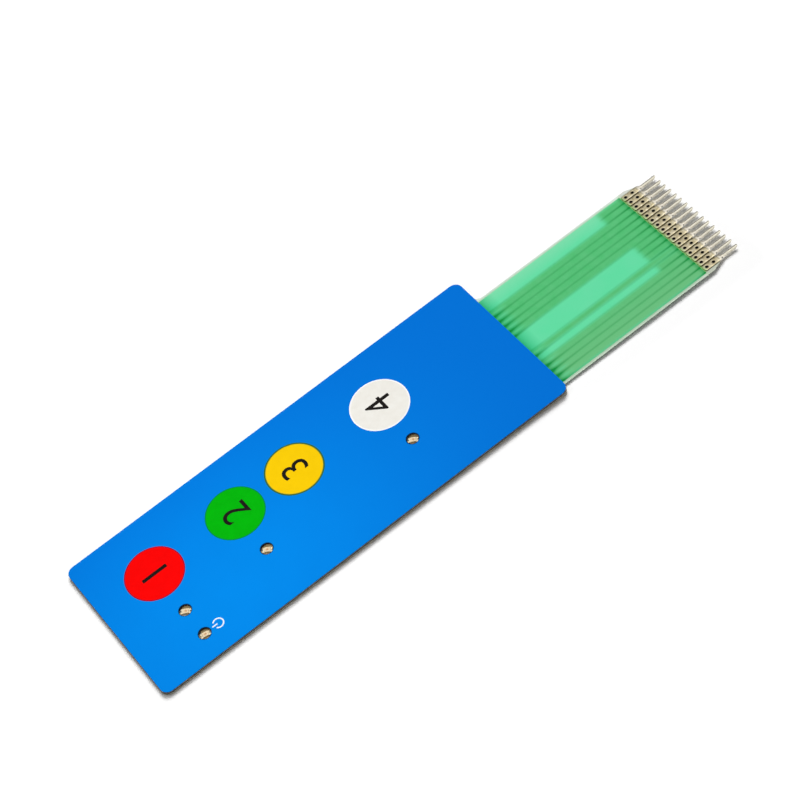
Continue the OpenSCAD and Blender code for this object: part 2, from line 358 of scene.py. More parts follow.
# %% Camera at the photograph's viewing angle
AIM = Vector((34.75, 6.17, 0.0)) * MM
DISTANCE = 761.8 * MM
AZIMUTH, ELEVATION, ROLL = (math.radians(angle) for angle in (-18.2, 52.44, -22.27))
back = Vector((
    math.sin(AZIMUTH) * math.cos(ELEVATION),
    -math.cos(AZIMUTH) * math.cos(ELEVATION),
    math.sin(ELEVATION)))
lens = bpy.data.cameras.new("photo_camera")
lens.sensor_width = 36.0
lens.lens = 117.0
lens.clip_start = 0.05
lens.clip_end = 50.0
camera = bpy.data.objects.new("photo_camera", lens)
camera.rotation_mode = "QUATERNION"
camera.location = AIM + back * DISTANCE
camera.rotation_quaternion = (-back).to_track_quat("-Z", "Y") @ Quaternion((0, 0, 1), ROLL)
in_scene.link(camera)
bpy.context.scene.camera = camera
bpy.context.scene.view_settings.view_transform = "Standard"
print("camera at", [round(value / MM, 1) for value in camera.location])


# %% [markdown]
# ## Studio
#
# The pad lies on a white sweep. A large soft lamp stands behind it at the right of the picture
# and gives the thin laminate its narrow shadow, and a smaller one hangs over the free end, so
# that the blue fades a little towards the tail; a painted falloff in the blue's colour adds to
# that. The dome is bright overhead and dark at its foot, so that bent metal shows light and
# dark flanks. It lights the pad weakly, but reflections see it in full, as they would see a
# white tent. The floor is a white sheet with a little light of its own for the camera, so that
# it reads as white while the lamps stay at a plain level, and its diffuse part keeps the shadow.


# %% Lamps
def softbox(name, spot, aim, size, power):
    """A square soft lamp at a spot in mm, turned to an aim in mm.

    The dome stands for it in reflections.
    """
    lamp = bpy.data.lights.new(name, "AREA")
    lamp.shape = "SQUARE"
    lamp.size = size * MM
    lamp.energy = power
    stand = bpy.data.objects.new(name, lamp)
    stand.location = Vector(spot) * MM
    stand.rotation_mode = "QUATERNION"
    stand.rotation_quaternion = (Vector(aim) - Vector(spot)).to_track_quat("-Z", "Y")
    stand.visible_camera = False
    stand.visible_glossy = False
    in_scene.link(stand)


softbox("side_softbox", spot=(780, 1000, 1400), aim=(30, 0, 0), size=1000, power=37.8)
softbox("end_softbox", spot=(-45, -16, 120), aim=(-45, -16, 0), size=60, power=0.035)
print("lamps:", len(bpy.data.lights))


# %% Rays that are seen
def seen_rays(tree):
    """Two marks: 1 for rays from the camera, and 1 for rays that show a surface.

    Those are rays from the camera, off a gloss or through a film. A ray that a matt surface sent
    to a gloss only lights that matt surface, so it doesn't count.
    """
    path = add(tree, "LightPath")
    shown = path.outputs["Is Camera Ray"]
    for mark in ("Is Glossy Ray", "Is Transmission Ray"):
        shown = add(tree, "Math", {"operation": "MAXIMUM"}, {
            0: shown, 1: path.outputs[mark]}).outputs["Value"]
    direct = add(tree, "Math", {"operation": "LESS_THAN"}, {0: path.outputs["Diffuse Depth"], 1: 0.5})
    shown = add(tree, "Math", {"operation": "MULTIPLY"}, {0: shown, 1: direct.outputs["Value"]})
    return path.outputs["Is Camera Ray"], shown.outputs["Value"]


print("rays that show a surface: from the camera, off a gloss, through a film")

# %% Dome
world = bpy.data.worlds.new("pale_dome")
bpy.context.scene.world = world
world.use_nodes = True
sky = world.node_tree
direction = add(sky, "TexCoord").outputs["Generated"]
towards = add(sky, "SeparateXYZ", None, {"Vector": direction})
height = towards.outputs["Z"]
# Brightness at the dome's foot, of a white card in front, overhead, and its share as a lamp
DOME_FOOT, DOME_FRONT, DOME_TOP, DOME_SHARE = 0.12, 0.9, 1.1, 0.18
# Where a view's direction enters the card, the dome's rise and the panel overhead
CARD_Y, RISE_Z, PANEL_Z = (-0.75, -0.35), (0.4, 0.95), (0.86, 0.97)
# The card stands on the -Y side, and fills the near flanks of the pins
foot = add(sky, "MapRange", SOFT, dict(zip(RANGE, (
    towards.outputs["Y"], *CARD_Y, DOME_FRONT, DOME_FOOT))))
dome = add(sky, "MapRange", SOFT, dict(zip(RANGE, (
    height, *RISE_Z, foot.outputs["Result"], DOME_TOP))))
# A brighter panel straight overhead, which the necks and the backs of the pins catch
overhead = add(sky, "MapRange", SOFT, dict(zip(RANGE, (height, *PANEL_Z))))
dome = add(sky, "Math", {"operation": "ADD"}, {
    0: dome.outputs["Result"], 1: overhead.outputs["Result"]})
from_camera, shown = seen_rays(sky)
share = add(sky, "MapRange", None, dict(zip(RANGE, (shown, 0.0, 1.0, DOME_SHARE))))
level = add(sky, "Math", {"operation": "MULTIPLY"}, {
    0: dome.outputs["Value"], 1: share.outputs["Result"]})
level = add(sky, "MapRange", None, dict(zip(RANGE, (from_camera, 0.0, 1.0, level.outputs["Value"]))))
sky.links.new(level.outputs["Result"], sky.nodes["Background"].inputs["Strength"])
sky.nodes["Background"].inputs["Color"].default_value = (1, 1, 1, 1)
print("dome: brightness", DOME_FOOT, "at its foot and", DOME_TOP, "overhead")

# %% Shape of the white sweep
# Half the floor's side, and its height at stations along the keypad. The tail's shadow in the
# photograph is set off from its edge, so the sweep falls away by 0.75 mm under the tail.
FLOOR_HALF = 2000.0
FLOOR_X = np.array([-FLOOR_HALF, -72.5, 55.0, 105.0, FLOOR_HALF])
FLOOR_Z = np.array([-0.03, -0.03, -0.22, -0.78, -0.78])
floor_x, floor_y = np.meshgrid(FLOOR_X, [-FLOOR_HALF, FLOOR_HALF], indexing="ij")
floor_z = FLOOR_Z[:, None] + 0 * floor_y
floor_points = np.stack([floor_x, floor_y, floor_z], axis=-1).reshape(-1, 3)
floor_mesh = bpy.data.meshes.new("white_sweep")
floor_mesh.from_pydata((floor_points * MM).tolist(), [], quads(len(FLOOR_X), 2).tolist())
floor = bpy.data.objects.new("white_sweep", floor_mesh)
in_scene.link(floor)
print("floor:", 2 * FLOOR_HALF, "mm square, lowest at", FLOOR_Z.min(), "mm")

# %% Finish of the white sweep
# Matt white card. Near the keypad its own light only makes up for what the lamps lack towards
# the tail, so that the shadow stays. It rises further out, where a real sweep has its own lamps.
# How far out is the distance to the keypad's box: what is left of |x| and |y| past its half sides.
sweep_finish, tree, shader, coordinates = start_finish(
    "matt_white_card", Base_Color=colour("#fdfdfd"), Roughness=0.9, Specular_IOR_Level=0.0)
middle, half_box = (cad_low + cad_high) / 2, (cad_high - cad_low) / 2
centred = add(tree, "Mapping", None, {
    "Vector": coordinates, "Location": (-middle[0], -middle[1], 0.0), "Scale": (1.0, 1.0, 0.0)})
folded = add(tree, "VectorMath", {"operation": "ABSOLUTE"}, {0: centred.outputs["Vector"]})
past = add(tree, "VectorMath", {"operation": "SUBTRACT"}, {
    0: folded.outputs["Vector"], 1: (half_box[0], half_box[1], 0.0)})
past = add(tree, "VectorMath", {"operation": "MAXIMUM"}, {
    0: past.outputs["Vector"], 1: (0.0, 0.0, 0.0)})
far = add(tree, "VectorMath", {"operation": "LENGTH"}, {0: past.outputs["Vector"]})
OWN_END, OWN_TAIL, OWN_FAR = 0.01, 0.05, 0.5
NEAR_X, FAR_OUT = np.array([[-60.0, 100.0], [3.0, 16.0]]) * MM
along = add(tree, "SeparateXYZ", None, {"Vector": coordinates}).outputs["X"]
near = add(tree, "MapRange", SOFT, dict(zip(RANGE, (along, *NEAR_X, OWN_END, OWN_TAIL))))
own = add(tree, "MapRange", SOFT, dict(zip(RANGE, (
    far.outputs["Value"], *FAR_OUT, near.outputs["Result"], OWN_FAR))))
strength = add(tree, "Math", {"operation": "MULTIPLY"}, {
    0: own.outputs["Result"], 1: seen_rays(tree)[1]})
glow = add(tree, "Emission", None, {"Color": (1, 1, 1, 1), "Strength": strength.outputs["Value"]})
card = add(tree, "AddShader", None, {0: shader.outputs["BSDF"], 1: glow.outputs["Emission"]})
tree.links.new(card.outputs["Shader"], tree.nodes["Material Output"].inputs["Surface"])
floor_mesh.materials.append(sweep_finish)
print("floor's own light:", OWN_END, "to", OWN_TAIL, "beside the keypad,", OWN_FAR, "far out")


# %% [markdown]
# ## The printed overlay
#
# The overlay is a polyester film that is printed on its back, so the blue is deep and the
# front is the film itself, with a fine velvet tooth that keeps reflections soft. The die
# rolls the film's top edge over a little and leaves a straight cut below. A flat CAD plate has
# no such edge, so the outline and the windows carry an edge profile round, and flat triangles
# fill the rest. The cut edge and the rims of the windows are darker than the face, partly the
# edge of the back print and partly painted shade. The blue also carries a painted falloff of
# light away from the free end.


# %% Shape of the overlay
def rounded_loop(half_x, half_y, radius, steps):
    """Outline of a rectangle with round corners: each corner's centre plus radius * (cos a, sin a)."""
    turn = np.arange(4)[:, None] * np.pi / 2 + np.linspace(0, np.pi / 2, steps)[None, :]
    side_x = np.array([1, -1, -1, 1])[:, None]
    side_y = np.array([1, 1, -1, -1])[:, None]
    x = side_x * (half_x - radius) + radius * np.cos(turn)
    y = side_y * (half_y - radius) + radius * np.sin(turn)
    return np.stack([x, y], axis=-1).reshape(-1, 2)


overlay_low, overlay_high = node_box("graphic_overlay")
CORNER_R, CORNER_STEPS, ROLL_R, WINDOW_R, RIM_W = 2.6, 12, 0.09, 1.85, 0.35
WINDOWS = np.array([[-53.0, -8.6], [-24.0, -8.6], [29.0, -8.6], [-53.0, -19.0]])
# Edge profile from the face to the back: how far inside the outline, and how high
bend = np.linspace(0, np.pi / 2, 5)
inside = np.concatenate([[RIM_W], ROLL_R * (1 - np.sin(bend)), [0.0]])
level = np.concatenate([[0.0], ROLL_R * (np.cos(bend) - 1), [overlay_low[2] - overlay_high[2]]])
level = overlay_high[2] + level
half = overlay_high[:2]
outline = np.stack([
    np.column_stack([rounded_loop(*(half - d), CORNER_R - d, CORNER_STEPS), np.full(4 * CORNER_STEPS, z)])
    for d, z in zip(inside, level)])
patches = [(outline.reshape(-1, 3), [quads(len(inside), outline.shape[1], wrap=True)])]
patches += [lathe(WINDOW_R + inside, level, window, steps=48) for window in WINDOWS]
overlay_mesh = make_mesh("overlay_film", patches, sharp=60, fill=(level[0], level[-1]))

# How near each point is to a window: 1 at its rolled edge, 0 from the next loop of points on.
# The blue is darkened there, partly the back print's edge and partly painted shade at the rim
apart = mesh_points(overlay_mesh)[:, None, :2] - WINDOWS
past_rim = np.linalg.norm(apart, axis=-1).min(axis=-1) - WINDOW_R
paint(overlay_mesh, "at_window", np.clip((RIM_W - past_rim) / (RIM_W - ROLL_R), 0, 1))
print("overlay film:", len(overlay_mesh.polygons), "faces")

# %% Blue reverse-printed polyester
# A deep blue under a soft, velvety face
blue_finish, tree, shader, coordinates = start_finish(
    "blue_reverse_printed_polyester", Roughness=0.45, IOR=1.57, Specular_IOR_Level=0.06)
# Painted light: the blue is lighter round a spot near the free end and deepens away from it,
# a painted falloff on top of the small lamp's own
LIGHT_SPOT, LIGHT_X, LIGHT_Y, LIGHT_END = (-42.0, -14.0), 65.0, 41.0, 1.8
spread = add(tree, "Mapping", None, {
    "Vector": coordinates, "Location": (-LIGHT_SPOT[0] / LIGHT_X, -LIGHT_SPOT[1] / LIGHT_Y, 0.0),
    "Scale": (per_metre(LIGHT_X), per_metre(LIGHT_Y), 0.0)})
away = add(tree, "VectorMath", {"operation": "LENGTH"}, {0: spread.outputs["Vector"]})
painted_falloff = add(tree, "MapRange", SOFT, dict(zip(RANGE, (away.outputs["Value"], 0.0, LIGHT_END))))
painted_falloff = painted_falloff.outputs["Result"]
at_window = add(tree, "Attribute", {"attribute_name": "at_window"}).outputs["Fac"]
blue = mottled(tree, coordinates, 14.0, "#0087e6", "#0085e3")
# The painted falloff's deeper blue, and a dark line round each window, partly the edge of the
# back print and partly painted shade at the rim
for share, tone in ((painted_falloff, "#0071d6"), (at_window, "#04264a")):
    blue = add(tree, "Mix", RGBA, {0: share, MIX_A: blue, MIX_B: colour(tone)}).outputs[MIX_OUT]
# Painted shade: faces that turn sideways, the cut edge and the walls of the windows, are made
# nearly black, partly the dark edge of the back print and partly the shade on them
facing = add(tree, "SeparateXYZ", None, {"Vector": add(tree, "NewGeometry").outputs["Normal"]})
upwards = add(tree, "MapRange", None, dict(zip(RANGE, (facing.outputs["Z"], 0.25, 0.8))))
blue = add(tree, "Mix", RGBA, {0: upwards.outputs["Result"], MIX_A: colour("#061d35"), MIX_B: blue})
tree.links.new(blue.outputs[MIX_OUT], shader.inputs["Base Color"])
# Velvet tooth of the film, drawn at 0.4 mm because the real 0.05 mm can't show
toothed(tree, shader, coordinates, size=0.4, depth=0.004)
place("overlay_film", overlay_mesh, blue_finish, ["graphic_overlay"])
print("overlay placed with", len(WINDOWS), "windows")


# %% [markdown]
# ## The key fields and their print
#
# Each key is a disc of screen-printed ink a few hundredths of a millimetre thick, with a soft
# shoulder and a different tone at its rim. The discs are turned profiles, and the tone follows
# the distance from the disc's centre. The numbers and the standby mark are plain signs in a
# second ink on top.


# %% Four ink discs
front = overlay_high[2]
KEY_R, INK_T = 9.2, 0.016
KEYS = {"red": -53.0, "green": -24.0, "yellow": -2.5, "white": 29.0}
KEY_Y = 8.1
# Main ink, its second tone, the rim's tone, and how far inside the edge that tone is full
INKS = {
    "red": ("#f70303", "#f10303", "#8a1030", 0.12),
    "green": ("#01b208", "#01ac07", "#04803c", 0.12),
    "yellow": ("#f6ca06", "#f2c605", "#2a6636", 0.34),
    "white": ("#f0eee7", "#ebe8e0", "#fdfdfc", 0.2),
}
RIM_FADE, SHOULDER_W = 0.4, 0.25
for name, key_x in KEYS.items():
    ink_finish, tree, shader, coordinates = start_finish(
        name + "_screen_ink", Roughness=0.45, IOR=1.5, Specular_IOR_Level=0.08)
    main, second, rim_tone, rim_width = INKS[name]
    tone = mottled(tree, coordinates, 2.5, main, second)
    centred = add(tree, "Mapping", None, {
        "Vector": coordinates, "Location": (-key_x * MM, -KEY_Y * MM, 0.0), "Scale": (1.0, 1.0, 0.0)})
    out = add(tree, "VectorMath", {"operation": "LENGTH"}, {0: centred.outputs["Vector"]})
    full_rim = KEY_R - rim_width
    at_rim = add(tree, "MapRange", SOFT, dict(zip(RANGE, (
        out.outputs["Value"], (full_rim - RIM_FADE) * MM, full_rim * MM))))
    tone = add(tree, "Mix", RGBA, {0: at_rim.outputs["Result"], MIX_A: tone, MIX_B: colour(rim_tone)})
    tree.links.new(tone.outputs[MIX_OUT], shader.inputs["Base Color"])
    toothed(tree, shader, coordinates, size=0.35, depth=0.003)
    # Flat top, round shoulder, and a back that sinks a quarter of the ink's thickness into the film
    shoulder = np.linspace(0, 1, 6)
    radius = np.concatenate([
        [0.0, KEY_R / 2, KEY_R - 2 * SHOULDER_W], KEY_R - SHOULDER_W * (1 - shoulder), [KEY_R, 0.0]])
    height = np.concatenate([[1.0, 1.0, 1.0], np.sqrt(1 - shoulder**2), [-0.25, -0.25]]) * INK_T + front
    disc = make_mesh(name + "_key_ink", [lathe(radius, height, (key_x, KEY_Y), steps=96)])
    place(name + "_key_ink", disc, ink_finish, [name + "_key_field"])
print("ink discs:", len(KEYS))


# %% Numbers on the keys
def printed_numeral(text, height, spot, level, thickness):
    """Mesh of a numeral of that height in mm, with its top towards -X, made flat ink."""
    words = bpy.data.curves.new("numeral", "FONT")
    words.body = text
    words.extrude = 0.5
    words.resolution_u = 6
    made = applied(bpy.data.objects.new("numeral", words))
    flat = mesh_points(made)
    low, high = flat.min(axis=0), flat.max(axis=0)
    scaled = (flat - (low + high) / 2) * height / (high[1] - low[1])
    z = np.where(flat[:, 2] > 0, level + thickness, level - thickness / 2)
    laid = np.column_stack([spot[0] - scaled[:, 1], spot[1] + scaled[:, 0], z]) * MM
    made.vertices.foreach_set("co", laid.astype(np.float32).ravel())
    settle(made)
    made.materials.clear()
    return made


# Dense black ink with a dull face
black_finish = plain_finish(
    "black_screen_ink", 1.2, "#0d0b0b", "#17120f", tooth=(0.3, 0.003),
    Roughness=0.5, IOR=1.5, Specular_IOR_Level=0.1)
NUMERAL_H, NUMERAL_T = 8.4, 0.008
for number, (name, key_x) in enumerate(KEYS.items(), start=1):
    sign = printed_numeral(str(number), NUMERAL_H, (key_x, KEY_Y), front + INK_T, NUMERAL_T)
    place("numeral_" + str(number), sign, black_finish)
print("numerals: 4,", NUMERAL_H, "mm high")

# %% Standby mark beside the fourth window
# White ink with a faint blue cast
white_finish = plain_finish(
    "white_screen_ink_mark", 0.8, "#f4f7fa", "#e3ecf5", tooth=(0.3, 0.003),
    Roughness=0.5, IOR=1.5, Specular_IOR_Level=0.25)
MARK, MARK_R, MARK_LINE, MARK_TURN, BAR_X = (-48.2, -19.0), 1.55, 0.42, 142, (0.35, 2.1)
# A ring that is open at its top, which faces -X, and a bar in the opening
angle, out = np.meshgrid(
    np.radians(np.linspace(-MARK_TURN, MARK_TURN, 49)),
    MARK_R + MARK_LINE * np.linspace(-0.5, 0.5, 5), indexing="ij")
ring_x = MARK[0] + out * np.cos(angle)
ring_y = MARK[1] + out * np.sin(angle)
bar_x, bar_y = np.meshgrid(
    MARK[0] - np.linspace(*BAR_X, 5), MARK[1] + MARK_LINE * np.linspace(-0.5, 0.5, 3), indexing="ij")
mark_patches = [
    slab(x, y, 0 * x + front + NUMERAL_T, 0 * x + front - NUMERAL_T)
    for x, y in ((ring_x, ring_y), (bar_x, bar_y))]
place("standby_mark", make_mesh("standby_mark", mark_patches), white_finish)
print("standby mark:", 2 * MARK_R + MARK_LINE, "mm across")


# %% [markdown]
# ## The crimped contacts
#
# Each contact is stamped from thin tin-plated brass strip: a plate with two holes, four claws
# that go through the film and fold over behind it, and a pin that is the same strip folded to
# a channel. A strip keeps its width when it is folded, so the surface is a function of the
# length along the strip and the distance across it: flat up to the fold line, then an arc,
# then straight again. The fold angle grows from nothing at the plate to a right angle at the
# pin. Solidify then gives the sheet its thickness and Bevel its rolled edges.

# %% Sizes of a contact
contact_boxes = np.array([node_box(f"contact_{i}") for i in range(1, 17)])
row_y = contact_boxes[:, :, 1].mean(axis=1)
strip_x = contact_boxes[0, 0, 0]
strip_top = contact_boxes[0, 1, 2]
STRIP_T, STRIP_HALF, STRIP_EDGE = 0.25, 1.025, 0.045
HOLES_X, HOLE_R = (1.2, 3.74), 0.53
CELLS_X = (0.0, 2.47, 4.9)
PLATE_R, PLATE_END, PIN_START, TIP_START, PIN_END = 0.6, 5.8, 7.0, 11.6, 12.69
FOLD_R, PIN_FLAT, PIN_STRIP, TIP_STRIP = 0.42, 0.07, 0.785, 0.2
CLAWS_X, CLAW_W, CLAW_T, PIN_DROOP = (2.47, 4.6), 0.7, 0.18, 0.09
# The fold: how far before the plate's end it starts and past the pin's start it ends, the flat
# half width where it starts, and how much faster the flat part narrows
FOLD_LEAD, FOLD_TRAIL, FOLD_FLAT, FLAT_RATE = 0.35, 1.3, 0.85, 2.2
# Height and width of the plate's small forms, and the bead's place before the plate's end
CROWN, CROWN_FALL, DISH, DISH_W, ROOT_DIP, ROOT_W = 0.02, 0.05, 0.03, 0.16, 0.06, 0.3
BEAD, BEAD_BACK, BEAD_W, BEAD_HALF, BEAD_END = 0.06, 0.45, 0.22, 0.9, 0.3
# A claw's path across and up: its start, the side wall, two bends and its tip under the film
CLAW_START, CLAW_TIP, CLAW_R = (0.78, 0.585), (0.44, 0.19), 0.1
CLAW_SIDE, CLAW_UPPER, CLAW_LOWER = 0.835, 0.485, 0.26
# How narrow a claw's tip is, and the powers that square its section along X and through it
CLAW_POINT, CLAW_SQUARE = 0.45, (0.35, 0.5)
SIDE_STEPS = 8
strip_mid = strip_top - STRIP_T / 2
print("contacts:", len(row_y), "from y", round(row_y[0], 2), "to", round(row_y[-1], 2), "mm")


# %% The plate round a hole
def holed_cell(x0, x1, hole_x, rings, corner_r):
    """Cell of the plate round one hole: points go straight from the circle to the rectangle.

    At share s the point is (1 - s) * circle + s * rectangle. Corners at x0 are rounded by
    drawing the corner square in to a quarter disc.
    """
    step = np.linspace(0, 1, SIDE_STEPS, endpoint=False)
    side, one = STRIP_HALF * (2 * step - 1), np.ones(SIDE_STEPS)
    x = np.concatenate([x1 * one, x1 + (x0 - x1) * step, x0 * one, x0 + (x1 - x0) * step])
    y = np.concatenate([side, STRIP_HALF * one, -side, -STRIP_HALF * one])
    if corner_r:
        a = np.clip((x0 + corner_r - x) / corner_r, 0, 1)
        b = np.clip((np.abs(y) - STRIP_HALF + corner_r) / corner_r, 0, 1)
        pull = np.maximum(a, b) / np.maximum(np.hypot(a, b), 1e-9)
        near = (a > 0) & (b > 0)
        x = np.where(near, x0 + corner_r - a * pull * corner_r, x)
        y = np.where(near, np.sign(y) * (STRIP_HALF - corner_r + b * pull * corner_r), y)
    angle = -np.pi / 4 + np.arange(4 * SIDE_STEPS) * np.pi / 2 / SIDE_STEPS
    share = np.linspace(0, 1, rings)[:, None]
    along = (1 - share) * (hole_x + HOLE_R * np.cos(angle)) + share * x
    across = (1 - share) * HOLE_R * np.sin(angle) + share * y
    return along, across


cells = [
    holed_cell(CELLS_X[k], CELLS_X[k + 1], HOLES_X[k], rings=7, corner_r=PLATE_R if k == 0 else 0)
    for k in (0, 1)]
print("plate:", len(cells), "cells of", cells[0][0].size, "points")


# %% The folded strip
def formed(along, across):
    """Place of a strip's point: flat, then round the fold, then straight down its side.

    With t the distance across, f the flat half width, r the fold radius and p the fold angle,
    an arc of length r * p follows the flat part, and the rest goes on at the angle p. The flat
    part narrows faster than the fold closes, so the neck is a shallow roof with two shoulders.
    """
    fold = smooth((along - PLATE_END + FOLD_LEAD) / (PIN_START - PLATE_END + FOLD_LEAD + FOLD_TRAIL))
    angle = fold * np.pi / 2
    flat = FOLD_FLAT + (PIN_FLAT - FOLD_FLAT) * smooth(FLAT_RATE * fold)
    t = np.abs(across)
    arc = np.clip(t - flat, 0, FOLD_R * angle)
    rest = np.maximum(t - flat - FOLD_R * angle, 0)
    y = np.minimum(t, flat) + FOLD_R * np.sin(arc / FOLD_R) + rest * np.cos(angle)
    z = -FOLD_R * (1 - np.cos(arc / FOLD_R)) - rest * np.sin(angle)
    # Crowned plate, dished rims of the holes, roots of the claws and a bead across the neck
    plate = 1 - fold
    z = z + plate * (CROWN - CROWN_FALL * (t / STRIP_HALF) ** 4)
    for hole_x in HOLES_X:
        rim = np.hypot(along - hole_x, across) - HOLE_R
        z = z - DISH * plate * np.exp(-((rim / DISH_W) ** 2))
    for claw_x in CLAWS_X:
        root = np.exp(-(((along - claw_x) / ROOT_W) ** 2)) * (t / STRIP_HALF) ** 8
        z = z - ROOT_DIP * plate * root
    from_bead = (along - PLATE_END + BEAD_BACK) / BEAD_W
    z = z + BEAD * np.exp(-(from_bead**2)) * smooth((BEAD_HALF - t) / BEAD_END)
    # The pin lies a little lower than the plate
    z = z - PIN_DROOP * smooth(2 * fold - 1)
    return np.stack([along, np.sign(across) * y, z + strip_mid], axis=-1)


print("strip folds round", FOLD_R, "mm")

# %% One strip with its thickness
# The neck needs close stations, from a little before the plate's end to well past the pin's start.
# The strip starts to narrow before the plate's end too, and the pin's tip tapers by a power.
NECK_BACK, NECK_ON, NARROW_LEAD, TAPER = 0.4, 1.4, 0.3, 1.3
stations = stretches(
    [CELLS_X[2], PLATE_END - NECK_BACK, PIN_START + NECK_ON, TIP_START, PIN_END], [4, 20, 5, 6])
narrowed = smooth((stations - PLATE_END + NARROW_LEAD) / (PIN_START - PLATE_END + NARROW_LEAD))
reach = STRIP_HALF + (PIN_STRIP - STRIP_HALF) * narrowed
tapered = np.clip((stations - TIP_START) / (PIN_END - TIP_START), 0, 1) ** TAPER
reach = reach + (TIP_STRIP - PIN_STRIP) * tapered
pin_across = reach[:, None] * np.linspace(-1, 1, SIDE_STEPS + 1)[None, :]
pin_along = stations[:, None] + 0 * pin_across
sheet = [(formed(*cell).reshape(-1, 3), [quads(*cell[0].shape, wrap=True)]) for cell in cells]
sheet.append((formed(pin_along, pin_across).reshape(-1, 3), [quads(*pin_along.shape)]))
strip = bpy.data.objects.new("contact_strip", make_mesh("contact_strip", sheet))
wall = strip.modifiers.new("sheet", "SOLIDIFY")
wall.thickness = STRIP_T * MM
wall.offset = 0.0
rolled = strip.modifiers.new("rolled_edge", "BEVEL")
rolled.width = STRIP_EDGE * MM
rolled.segments = 2
rolled.limit_method = "ANGLE"
rolled.angle_limit = math.radians(50)
solid = applied(strip)
strip_points = mesh_points(solid)
corners = np.empty(len(solid.loops), dtype=np.int32)
solid.loops.foreach_get("vertex_index", corners)
sizes = np.empty(len(solid.polygons), dtype=np.int32)
solid.polygons.foreach_get("loop_total", sizes)
starts = np.cumsum(sizes) - sizes
strip_faces = [corners[starts[sizes == n][:, None] + np.arange(n)] for n in np.unique(sizes)]
print("one strip:", len(strip_points), "points,", len(sizes), "faces")


# %% Claws
def claw(claw_x, side):
    """A claw: a rounded section carried along a path down through the film and back under it."""
    bend = np.linspace(0, np.pi / 2, 5)
    rise, run = CLAW_R * np.sin(bend), CLAW_R * np.cos(bend)
    path_y = np.concatenate([[CLAW_START[0]], CLAW_SIDE + rise, CLAW_SIDE + run, [CLAW_TIP[0]]])
    path_z = np.concatenate([[CLAW_START[1]], CLAW_UPPER + run, CLAW_LOWER - rise, [CLAW_TIP[1]]])
    width = np.concatenate([np.ones(len(path_y) - 1), [CLAW_POINT]])
    step_y, step_z = np.gradient(path_y), np.gradient(path_z)
    size = np.hypot(step_y, step_z)
    around = np.linspace(0, 2 * np.pi, 16, endpoint=False)
    section_x = CLAW_W / 2 * np.sign(np.cos(around)) * np.abs(np.cos(around)) ** CLAW_SQUARE[0]
    section_n = CLAW_T / 2 * np.sign(np.sin(around)) * np.abs(np.sin(around)) ** CLAW_SQUARE[1]
    x = claw_x + width[:, None] * section_x
    y = path_y[:, None] - (step_z / size)[:, None] * section_n
    z = path_z[:, None] + (step_y / size)[:, None] * section_n
    points = np.stack([x, side * y, z], axis=-1)
    rows, cols = x.shape
    ends = np.arange(cols)[None, :]
    faces = [quads(rows, cols, wrap=True), ends, ends[:, ::-1] + (rows - 1) * cols]
    return points.reshape(-1, 3), faces


claws = [claw(claw_x, side) for claw_x in CLAWS_X for side in (-1, 1)]
print("claws on a contact:", len(claws))

# %% Tin-plated brass
# Stamped strip with a satin tin plating: a warm grey metal with fine rolling lines along the
# strip, soft stains, an uneven gloss and a painted highlight on the necks.
brass_finish, tree, shader, coordinates = start_finish(
    "stamped_tin_plated_brass", Metallic=1.0, Roughness=0.3)
# Stretches along X in mm: the plates' green start, the change to the pin, and the rise and fall
# of the painted highlight on the neck
GREEN_X, PIN_X, RISE_X, FALL_X = (127.5, 128.2), (133.0, 135.5), (132.7, 133.5), (134.2, 135.6)
stain_and_painted_light = mottled(tree, coordinates, 0.9, "#e4dcc0", "#c8b98e")
# The pins are a cooler grey than the plates, whose first half millimetre is tinted green
length = add(tree, "SeparateXYZ", None, {"Vector": coordinates}).outputs["X"]
stain_and_painted_light = graded(tree, stain_and_painted_light, length, *PIN_X, "#dad6c6")
stain_and_painted_light = graded(tree, stain_and_painted_light, length, *GREEN_X, "#b4dc98", 0.85, 0.0)
lines = add(tree, "Mapping", None, {"Vector": coordinates, "Scale": (0.08, 1.0, 1.0)})
rolling = add(tree, "TexNoise", None, {
    "Vector": lines.outputs["Vector"], "Scale": per_metre(0.12), "Detail": 2.0})
streak = add(tree, "MapRange", None, dict(zip(RANGE, (rolling.outputs["Fac"], 0.35, 0.7, 0.0, 0.35))))
stain_and_painted_light = add(tree, "Mix", RGBA, {
    0: streak.outputs["Result"], MIX_A: stain_and_painted_light, MIX_B: colour("#a8997a")}).outputs[MIX_OUT]
# Painted highlight: the necks' sloped shoulders catch the light, so their tone is made the
# brightest, rising past the plate and falling again along the pin
risen, fallen = (
    add(tree, "MapRange", None, dict(zip(RANGE, (length, start * MM, end * MM, first, 1.0 - first))))
    for (start, end), first in ((RISE_X, 0.0), (FALL_X, 1.0)))
neck_highlight = add(tree, "Math", {"operation": "MULTIPLY"}, {
    0: risen.outputs["Result"], 1: fallen.outputs["Result"]})
stain_and_painted_light = add(tree, "Mix", RGBA, {0: neck_highlight.outputs["Value"], MIX_A: stain_and_painted_light, MIX_B: colour("#fdf6e4")})
tree.links.new(stain_and_painted_light.outputs[MIX_OUT], shader.inputs["Base Color"])
uneven_gloss(tree, shader, coordinates, size=0.7, least=0.24, most=0.42)
relief = add(tree, "Bump", None, {
    "Height": rolling.outputs["Fac"], "Strength": 0.6, "Distance": 0.006 * MM})
tree.links.new(relief.outputs["Normal"], shader.inputs["Normal"])
print("brass finish is ready")

